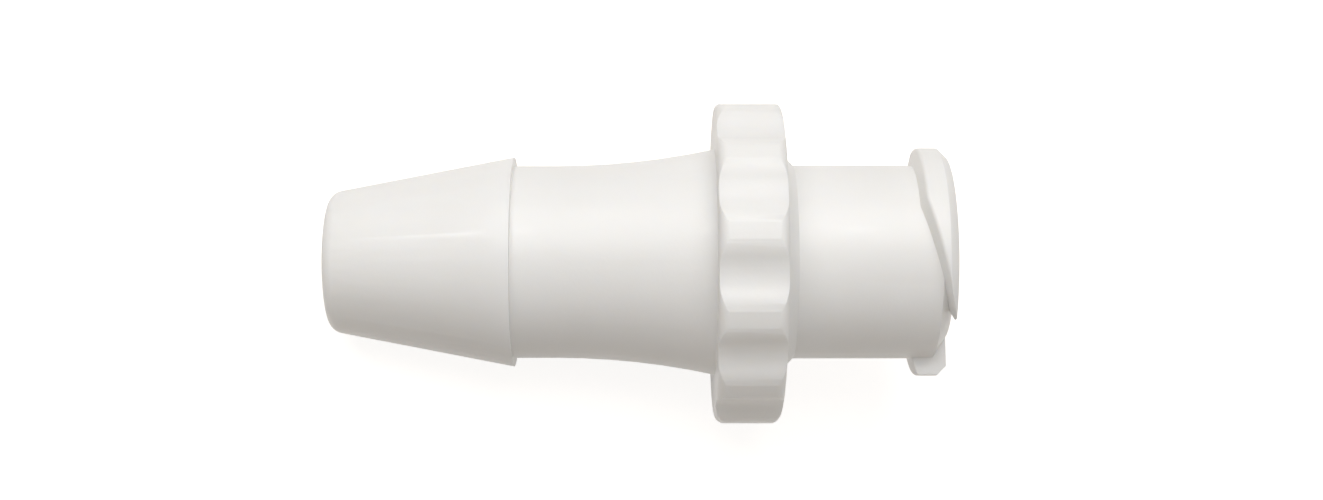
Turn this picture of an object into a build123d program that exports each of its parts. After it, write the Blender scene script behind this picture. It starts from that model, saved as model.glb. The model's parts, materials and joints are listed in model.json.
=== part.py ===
# Female luer lock to hose barb adapter, moulded in one piece. Millimetres, +Z up.
# The fitting lies at rest on its collar and on the mouth of its barb, so its axis climbs
# gently from the barb to the luer end. The origin is on the floor, under its middle.
from build123d import *
from math import asin, atan2, cos, degrees, hypot, pi, radians, sin, sqrt
import os

os.makedirs("parts", exist_ok=True)

# Lengths along the axis, from the barb's mouth to the luer rim
barb_length = 6.35
shank_length = 6.85
collar_width = 2.25
luer_length = 5.65

# Hose barb: one cone that ends in a square shoulder
barb_mouth_diameter = 4.75
barb_shoulder_diameter = 7.2
barb_mouth_rounding = 0.5

# Shank that the hose grips, flaring into the collar
shank_diameter = 6.6
flare_length = 5.4
flare_rise = 0.58

# Grip collar: a turned disc with round lobes and finger grooves in turn about its edge
collar_diameter = 11.1
collar_edge_rounding = 0.35
lobe_count = 12
crest_trim = 0.02  # how much of the lobes' crests the turned disc takes off
groove_depth = 0.33
groove_radius = 1.6

# Female luer end: outside, 6 % socket and the bore that goes right through
luer_diameter = 6.64
luer_root_length = 0.45  # the luer body widens to a short cone where it meets the collar
luer_root_rise = 0.45
rim_bevel_length = 0.45
rim_bevel_depth = 0.7
socket_mouth_diameter = 4.3
socket_taper = 0.06  # diameter lost for each millimetre of depth
socket_depth = 8.0
bore_diameter = 3.4

# Two lugs for a male luer collar: a right-hand double thread, cut short. Each lug starts
# flat across the axis, then narrows along a ramp until it runs out through the rim.
lug_count = 2
lug_diameter = 7.83
lug_width = 1.15
lug_flank_run = 0.15
lug_crest_rounding = 0.12
lug_front_bevel = 0.3
lug_flat_arc = 68
lug_start_angle = -76  # from straight up, turning towards the front side
lug_ramp_lead = 6.0  # rise in a whole turn, a little steeper than the 5 mm mating thread

fusing_depth = 0.5  # how far a form runs into the next one, or past a face that trims it

# Stations along the axis and radii that follow
collar_station = barb_length + shank_length
luer_station = collar_station + collar_width
rim_station = luer_station + luer_length
mouth_radius = barb_mouth_diameter / 2
shoulder_radius = barb_shoulder_diameter / 2
shank_radius = shank_diameter / 2
collar_radius = collar_diameter / 2
luer_radius = luer_diameter / 2
lug_radius = lug_diameter / 2
bore_radius = bore_diameter / 2
socket_mouth_radius = socket_mouth_diameter / 2
socket_end_radius = socket_mouth_radius - socket_taper * socket_depth / 2

# The collar's outline is grooves and lobes in turn, each one arc that runs smoothly into the
# next. The lobes reach a little past the turned disc, and their radius follows from that.
half_pitch = pi / lobe_count
crest_radius = collar_radius + crest_trim
groove_offset = collar_radius - groove_depth + groove_radius
lobe_radius = (
    crest_radius**2
    + groove_offset**2
    - groove_radius**2
    - 2 * crest_radius * groove_offset * cos(half_pitch)
) / (2 * (crest_radius + groove_radius - groove_offset * cos(half_pitch)))
lobe_offset = crest_radius - lobe_radius
groove_half_arc = atan2(
    lobe_offset * sin(half_pitch), groove_offset - lobe_offset * cos(half_pitch)
)
lobe_half_arc = half_pitch + groove_half_arc

# The collar rests on two lobes, where their lowest lines end at the disc's rounded edge
foot_depth = lobe_offset * cos(half_pitch) + lobe_radius
foot_radius = min(hypot(foot_depth, lobe_offset * sin(half_pitch)), collar_radius)
edge_centre_radius = collar_radius - collar_edge_rounding
foot_inset = collar_edge_rounding - sqrt(
    collar_edge_rounding**2 - (foot_radius - edge_centre_radius) ** 2
)

# The other foot is the rounded edge of the barb's mouth, and both give the tilt at rest
cone_slope = (shoulder_radius - mouth_radius) / barb_length
mouth_centre_radius = mouth_radius - barb_mouth_rounding * (hypot(1, cone_slope) - cone_slope)
foot_span = collar_station + foot_inset - barb_mouth_rounding
foot_drop = foot_depth - mouth_centre_radius
rest_tilt = atan2(foot_drop, foot_span) - asin(
    barb_mouth_rounding / hypot(foot_drop, foot_span)
)

along = Vector(cos(rest_tilt), 0, sin(rest_tilt))
upward = Vector(-sin(rest_tilt), 0, cos(rest_tilt))
front = Vector(0, -1, 0)

# The mouth's height sets the part on the floor, and its place along X centres the part
back_reach = barb_mouth_rounding * (1 - cos(rest_tilt)) + mouth_centre_radius * sin(rest_tilt)
front_reach = rim_station * cos(rest_tilt) + (lug_radius - lug_front_bevel) * sin(rest_tilt)
mouth_height = mouth_centre_radius * cos(rest_tilt) + barb_mouth_rounding * (1 - sin(rest_tilt))
mouth_centre = Vector((back_reach - front_reach) / 2, 0, mouth_height)


# Straight out from the axis, at an angle turned from straight up towards the front
def outward(angle):
    return upward * cos(radians(angle)) + front * sin(radians(angle))


# A section across the fitting, with that direction as its local X
def across(station, angle=0):
    return Plane(origin=mouth_centre + along * station, x_dir=outward(angle), z_dir=along)


# A half section through the axis: its local X runs along the fitting, its local Y outward
def lengthwise(station, angle=0):
    normal = along.cross(outward(angle))
    return Plane(origin=mouth_centre + along * station, x_dir=along, z_dir=normal)


half_section = lengthwise(0)
axis = Axis(mouth_centre, along)
flare_end_radius = shank_radius + flare_rise
luer_root_radius = luer_radius + luer_root_rise
rim_bevel_radius = luer_radius - rim_bevel_depth
lug_inner_radius = rim_bevel_radius - fusing_depth
flank_slope = lug_flank_run / (lug_radius - luer_radius)


# The lug's section: a sloping flank towards the collar, and a front that gets trimmed
def lug_section(angle):
    with BuildSketch(lengthwise(rim_station - lug_width, angle)) as section:
        with BuildLine():
            Polyline(
                (-flank_slope * (luer_radius - lug_inner_radius), lug_inner_radius),
                (lug_flank_run, lug_radius),
                (lug_width + fusing_depth, lug_radius),
                (lug_width + fusing_depth, lug_inner_radius),
                close=True,
            )
        make_face()
        crest_corner = section.vertices().group_by(Axis.Y)[-1].sort_by(Axis.X)[0]
        fillet(crest_corner, lug_crest_rounding)
    return section.sketch


# One lug: its section turned flat round the rim, then swept along the ramp. All that
# passes the rim is trimmed off, with the crest's front edge bevelled.
ramp_angle = lug_start_angle + lug_flat_arc
ramp_path = across(rim_station, ramp_angle) * Helix(lug_ramp_lead, lug_width, lug_radius)
with BuildPart() as lug:
    revolve(lug_section(lug_start_angle), axis=axis, revolution_arc=lug_flat_arc)
    sweep(lug_section(ramp_angle), path=ramp_path, is_frenet=True)
    with BuildSketch(lengthwise(rim_station)) as rim_profile:
        Rectangle(2 * lug_width, lug_radius, align=(Align.MAX, Align.MIN))
        front_corner = rim_profile.vertices().group_by(Axis.X)[-1].sort_by(Axis.Y)[-1]
        chamfer(front_corner, lug_front_bevel)
    revolve(axis=axis, mode=Mode.INTERSECT)

with BuildPart() as luer_fitting:
    # Grip collar: the lobed outline, kept within a turned disc with rounded edges
    with BuildSketch(across(collar_station - fusing_depth)):
        with BuildLine():
            for lobe in range(lobe_count):
                groove_turn = 2 * half_pitch * lobe
                lobe_turn = groove_turn + half_pitch
                CenterArc(
                    (groove_offset * cos(groove_turn), groove_offset * sin(groove_turn)),
                    groove_radius,
                    degrees(groove_turn + pi - groove_half_arc),
                    degrees(2 * groove_half_arc),
                )
                CenterArc(
                    (lobe_offset * cos(lobe_turn), lobe_offset * sin(lobe_turn)),
                    lobe_radius,
                    degrees(lobe_turn - lobe_half_arc),
                    degrees(2 * lobe_half_arc),
                )
        make_face()
    extrude(amount=collar_width + 2 * fusing_depth)
    with BuildSketch(lengthwise(collar_station)) as disc_profile:
        Rectangle(collar_width, collar_radius, align=(Align.MIN, Align.MIN))
        disc_corners = disc_profile.vertices().group_by(Axis.Y)[-1]
        fillet(disc_corners, collar_edge_rounding)
    revolve(axis=axis, mode=Mode.INTERSECT)

    # Barb, shank and flare, turned round the axis
    with BuildSketch(half_section) as barb_profile:
        with BuildLine():
            cone = Line((0, mouth_radius), (barb_length, shoulder_radius))
            shoulder = Line(cone @ 1, (barb_length, shank_radius))
            shank = Line(shoulder @ 1, (collar_station - flare_length, shank_radius))
            flare_end = (collar_station, flare_end_radius)
            flare = TangentArc(shank @ 1, flare_end, tangent=shank % 1)
            Polyline(
                flare @ 1,
                (collar_station + fusing_depth, flare_end_radius),
                (collar_station + fusing_depth, 0),
                (0, 0),
                cone @ 0,
            )
        make_face()
        mouth_corner = barb_profile.vertices().group_by(Axis.X)[0].sort_by(Axis.Y)[-1]
        fillet(mouth_corner, barb_mouth_rounding)
    revolve(axis=axis)

    # Luer body, with its root cone at the collar and a bevel round its rim
    with BuildSketch(lengthwise(luer_station)):
        with BuildLine():
            Polyline(
                (-fusing_depth, 0),
                (-fusing_depth, luer_root_radius),
                (0, luer_root_radius),
                (luer_root_length, luer_radius),
                (luer_length - rim_bevel_length, luer_radius),
                (luer_length, rim_bevel_radius),
                (luer_length, 0),
                close=True,
            )
        make_face()
    revolve(axis=axis)

    # Lugs, evenly round the rim
    for copy in range(lug_count):
        add(lug.part.rotate(axis, 360 / lug_count * copy))

    # Luer socket and the bore through the barb
    with BuildSketch(half_section):
        with BuildLine():
            Polyline(
                (0, 0),
                (rim_station, 0),
                (rim_station, socket_mouth_radius),
                (rim_station - socket_depth, socket_end_radius),
                (rim_station - socket_depth, bore_radius),
                (0, bore_radius),
                close=True,
            )
        make_face()
    revolve(axis=axis, mode=Mode.SUBTRACT)

luer_fitting.part.label = "luer_fitting"
export_step(luer_fitting.part, "parts/luer_fitting.step")
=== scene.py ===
import json
import math
import bpy
from mathutils import Matrix, Vector


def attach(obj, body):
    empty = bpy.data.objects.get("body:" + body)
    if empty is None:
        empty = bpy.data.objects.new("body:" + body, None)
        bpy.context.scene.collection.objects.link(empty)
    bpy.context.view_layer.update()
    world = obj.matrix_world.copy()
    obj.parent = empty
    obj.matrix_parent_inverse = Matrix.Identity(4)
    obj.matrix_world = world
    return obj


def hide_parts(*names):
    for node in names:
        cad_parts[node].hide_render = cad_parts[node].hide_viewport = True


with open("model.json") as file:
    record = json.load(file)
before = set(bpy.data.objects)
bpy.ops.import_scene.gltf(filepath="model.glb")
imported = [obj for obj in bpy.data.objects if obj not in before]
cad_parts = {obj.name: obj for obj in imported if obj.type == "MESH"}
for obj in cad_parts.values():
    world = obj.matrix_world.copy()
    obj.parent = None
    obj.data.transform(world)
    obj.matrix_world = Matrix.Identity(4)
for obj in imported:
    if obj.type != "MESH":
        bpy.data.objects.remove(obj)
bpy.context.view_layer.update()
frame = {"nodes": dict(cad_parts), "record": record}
print("frame loaded")

mounts = {mount["name"]: mount for mount in frame["record"]["mounts"]}
rimCentre = Vector(mounts["luer_socket"]["pos_m"])
along = Vector(mounts["luer_socket"]["axis"]).normalized()  # from the barb to the luer end
front = Vector((0, -1, 0))
upward = front.cross(along)


# A node output that can be added, multiplied and compared like a number
class Signal:
    def __init__(self, socket):
        self.socket = socket

    def math(self, operation, first, second=None):
        node = self.socket.node.id_data.nodes.new("ShaderNodeMath")
        node.operation = operation
        for place, value in enumerate((first, second)):
            if isinstance(value, Signal):
                node.id_data.links.new(value.socket, node.inputs[place])
            elif value is not None:
                node.inputs[place].default_value = value
        return Signal(node.outputs[0])

    def __add__(self, other):
        return self.math("ADD", self, other)

    def __radd__(self, other):
        return self.math("ADD", other, self)

    def __sub__(self, other):
        return self.math("SUBTRACT", self, other)

    def __rsub__(self, other):
        return self.math("SUBTRACT", other, self)

    def __mul__(self, other):
        return self.math("MULTIPLY", self, other)

    def __rmul__(self, other):
        return self.math("MULTIPLY", other, self)

    def __truediv__(self, other):
        return self.math("DIVIDE", self, other)

    def __rtruediv__(self, other):
        return self.math("DIVIDE", other, self)

    def __gt__(self, other):
        return self.math("GREATER_THAN", self, other)

    def __lt__(self, other):
        return self.math("LESS_THAN", self, other)

    def __abs__(self):
        return self.math("ABSOLUTE", self)

    def clamped(self):
        result = self.math("ADD", self, 0)
        result.socket.node.use_clamp = True
        return result


# One node tree, and the one way that nodes are put into it
class Nodes:
    def __init__(self, tree):
        self.tree = tree
        tree.nodes.clear()

    def add(self, kind, settings=None, values=None, output=0):
        node = self.tree.nodes.new(kind)
        for name, value in (settings or {}).items():
            setattr(node, name, value)
        for name, value in (values or {}).items():
            if isinstance(value, Signal):
                self.tree.links.new(value.socket, node.inputs[name])
            else:
                node.inputs[name].default_value = value
        return Signal(node.outputs[output]) if len(node.outputs) else None

    # A Mix node shares names between its kinds: 6 and 7 are colours in, 2 is the colour out
    def mixColour(self, factor, first, second):
        return self.add(
            "ShaderNodeMix",
            {"data_type": "RGBA"},
            {"Factor": factor, 6: first, 7: second},
            output=2,
        )


def newMaterial(name):
    material = bpy.data.materials.new(name)
    material.use_nodes = True
    return material, Nodes(material.node_tree)


# Moulded nylon: milky, satin, a faint spark-eroded texture and the mould's parting line
nylon = {
    "baseColour": (0.865, 0.86, 0.845, 1),
    "shadeColour": (0.84, 0.832, 0.81, 1),
    "cloudSize": 0.004,
    "cloudStart": 0.35,
    "cloudContrast": 2.2,
    "patchSize": 0.004 / 6,
    "roughness": 0.48,
    "roughnessSpread": 0.1,
    "skin": 0.16,  # the smoother skin that the mould's polish leaves
    "skinRoughness": 0.15,
    "ior": 1.53,
    "glow": 0.35,
    "glowDepth": 0.0008,
    "glowReach": (1.0, 0.9, 0.75),  # how far red, green and blue travel inside
    "grainSize": 0.00012,
    "grainHeight": 0.0000025,
    "lineHalfWidth": 0.00003,
    "lineHeight": 0.00001,
    "lineTurn": -60,  # degrees from straight up towards the front
    "lineInnerRadius": 0.0023,  # nearer the axis lie the socket and the bore
}


def nylonMaterial():
    material, nodes = newMaterial("nylon")
    place = nodes.add("ShaderNodeTexCoord", output="Object")

    def noise(size, detail):
        return nodes.add(
            "ShaderNodeTexNoise", None, {"Vector": place, "Scale": 1 / size, "Detail": detail}
        )

    cloud = noise(nylon["cloudSize"], detail=3)
    patches = noise(nylon["patchSize"], detail=4)
    grain = noise(nylon["grainSize"], detail=2)
    colour = nodes.mixColour(
        ((cloud - nylon["cloudStart"]) * nylon["cloudContrast"]).clamped(),
        nylon["baseColour"],
        nylon["shadeColour"],
    )
    roughness = nylon["roughness"] + (patches - 0.5) * nylon["roughnessSpread"]

    # The parting line follows the plane that the mould's halves share, outside only
    turn = math.radians(nylon["lineTurn"])
    planeNormal = front * math.cos(turn) - upward * math.sin(turn)
    fromRim = nodes.add("ShaderNodeVectorMath", {"operation": "SUBTRACT"}, {0: place, 1: rimCentre})
    offPlane = nodes.add(
        "ShaderNodeVectorMath", {"operation": "DOT_PRODUCT"}, {0: fromRim, 1: planeNormal}, "Value"
    )
    offAxis = nodes.add(
        "ShaderNodeVectorMath", {"operation": "CROSS_PRODUCT"}, {0: fromRim, 1: along}
    )
    radius = nodes.add("ShaderNodeVectorMath", {"operation": "LENGTH"}, {0: offAxis}, "Value")
    line = (1 - abs(offPlane) / nylon["lineHalfWidth"]).clamped() * (
        radius > nylon["lineInnerRadius"]
    )

    height = grain * nylon["grainHeight"] + line * nylon["lineHeight"]
    bump = nodes.add("ShaderNodeBump", None, {"Height": height, "Distance": 1, "Strength": 1})
    surface = nodes.add(
        "ShaderNodeBsdfPrincipled",
        None,
        {
            "Base Color": colour,
            "Roughness": roughness,
            "IOR": nylon["ior"],
            "Coat Weight": nylon["skin"],
            "Coat Roughness": nylon["skinRoughness"],
            "Subsurface Weight": nylon["glow"],
            "Subsurface Radius": nylon["glowReach"],
            "Subsurface Scale": nylon["glowDepth"],
            "Normal": bump,
        },
    )
    nodes.add("ShaderNodeOutputMaterial", None, {"Surface": surface})
    return material


# The moulding: the solid's own surface, with the slight radius that a mould leaves on edges
moulding = {
    "mergeDistance": 0.000001,
    "flatAngle": 1,  # degrees below which neighbouring facets are one face
    "edgeRadius": 0.00009,
    "edgeSteps": 3,
    "edgeAngle": 32,  # degrees from which an edge is eased
}


def makeMoulding():
    solid = frame["nodes"]["luer_fitting"]
    bpy.ops.object.select_all(action="DESELECT")
    piece = bpy.data.objects.new("mouldedFitting", solid.data.copy())
    bpy.context.scene.collection.objects.link(piece)
    bpy.context.view_layer.objects.active = piece
    piece.select_set(True)
    bpy.ops.object.mode_set(mode="EDIT")
    bpy.ops.mesh.select_all(action="SELECT")
    bpy.ops.mesh.remove_doubles(threshold=moulding["mergeDistance"])
    bpy.ops.mesh.normals_make_consistent(inside=False)
    bpy.ops.mesh.dissolve_limited(angle_limit=math.radians(moulding["flatAngle"]))
    bpy.ops.object.mode_set(mode="OBJECT")
    eased = piece.modifiers.new("easedEdges", "BEVEL")
    eased.width = moulding["edgeRadius"]
    eased.segments = moulding["edgeSteps"]
    eased.limit_method = "ANGLE"
    eased.angle_limit = math.radians(moulding["edgeAngle"])
    bpy.ops.object.modifier_apply(modifier=eased.name)
    bpy.ops.object.shade_smooth_by_angle(angle=math.radians(moulding["edgeAngle"]))
    piece.data.materials.clear()
    piece.data.materials.append(nylonMaterial())
    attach(piece, "root")
    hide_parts("luer_fitting")
    print("moulding made:", len(piece.data.polygons), "faces")


makeMoulding()

# Floor and surroundings: white to the camera and in reflections, grey as light on the part
studio = {
    "floorSize": 1.2,
    "floorColour": (0.43, 0.395, 0.355, 1),
    "floorRoughness": 0.9,
    "floorGlow": 0.84,
    "skyLight": (0.40, 0.39, 0.38, 1),
}


# 1 for rays that meet a white background: from the camera, reflected or passed through
def whiteRays(nodes):
    camera, glossy, transmission = [
        nodes.add("ShaderNodeLightPath", output=name)
        for name in ("Is Camera Ray", "Is Glossy Ray", "Is Transmission Ray")
    ]
    return (camera + glossy + transmission).clamped()


def layFloor():
    bpy.ops.mesh.primitive_plane_add(size=studio["floorSize"])
    floor = bpy.context.object
    floor.name = "floor"
    material, nodes = newMaterial("floorWhite")
    surface = nodes.add(
        "ShaderNodeBsdfPrincipled",
        None,
        {
            "Base Color": studio["floorColour"],
            "Roughness": studio["floorRoughness"],
            "Specular IOR Level": 0,
            "Emission Color": nodes.mixColour(whiteRays(nodes), (0, 0, 0, 1), (1, 1, 1, 1)),
            "Emission Strength": studio["floorGlow"],
        },
    )
    nodes.add("ShaderNodeOutputMaterial", None, {"Surface": surface})
    floor.data.materials.append(material)


def lightSurroundings():
    world = bpy.data.worlds.new("surroundings")
    world.use_nodes = True
    bpy.context.scene.world = world
    nodes = Nodes(world.node_tree)
    colour = nodes.mixColour(whiteRays(nodes), studio["skyLight"], (1, 1, 1, 1))
    background = nodes.add("ShaderNodeBackground", None, {"Color": colour, "Strength": 1})
    nodes.add("ShaderNodeOutputWorld", None, {"Surface": background})


# One broad soft lamp does the lighting, and two small ones put a gleam on the barb and rim end.
# They tilt behind straight up and lean towards the barb's end, in degrees.
lamps = {
    "softLamp": {"tilt": 15, "lean": 12, "distance": 0.5, "size": 0.5, "power": 1.6},
    "barbGleam": {"tilt": 11, "lean": 39.5, "distance": 0.5, "size": 0.035, "power": 0.1},
    "luerGleam": {"tilt": 12, "lean": 6.5, "distance": 0.5, "size": 0.035, "power": 0.09},
}


def hangLamps():
    for name, values in lamps.items():
        tilt = math.tan(math.radians(values["tilt"]))
        lean = math.tan(math.radians(values["lean"]))
        direction = Vector((-lean, tilt, 1)).normalized()
        bpy.ops.object.light_add(type="AREA", location=direction * values["distance"])
        lamp = bpy.context.object
        lamp.name = name
        lamp.rotation_euler = direction.to_track_quat("Z", "Y").to_euler()
        lamp.data.shape = "DISK"
        lamp.data.size = values["size"]
        lamp.data.energy = values["power"]


layFloor()
lightSurroundings()
hangLamps()
print("floor and light in place")

# The camera looks down across the fitting, whose axis runs level through the picture
viewpoint = {
    "aimFromRim": 0.01044,
    "rise": 64.5,  # degrees above the front, turned about the fitting's axis
    "distance": 0.069,
    "frameWidth": 0.0456,
    "sensorWidth": 36,  # millimetres
    "shiftRight": 0.0163,
    "shiftUp": 0.0091,
    "nearest": 0.005,
    "farthest": 10,
}


def placeCamera():
    rise = math.radians(viewpoint["rise"])
    towardsCamera = upward * math.sin(rise) + front * math.cos(rise)
    aim = rimCentre - along * viewpoint["aimFromRim"]
    turned = Matrix((along, towardsCamera.cross(along), towardsCamera)).transposed()
    lens = bpy.data.cameras.new("camera")
    camera = bpy.data.objects.new("camera", lens)
    bpy.context.scene.collection.objects.link(camera)
    place = aim + towardsCamera * viewpoint["distance"]
    camera.matrix_world = Matrix.Translation(place) @ turned.to_4x4()
    lens.sensor_width = viewpoint["sensorWidth"]
    lens.lens = viewpoint["sensorWidth"] * viewpoint["distance"] / viewpoint["frameWidth"]
    lens.shift_x = viewpoint["shiftRight"]
    lens.shift_y = viewpoint["shiftUp"]
    lens.clip_start = viewpoint["nearest"]
    lens.clip_end = viewpoint["farthest"]
    bpy.context.scene.camera = camera


placeCamera()
bpy.context.scene.view_settings.view_transform = "Standard"
print("camera placed")
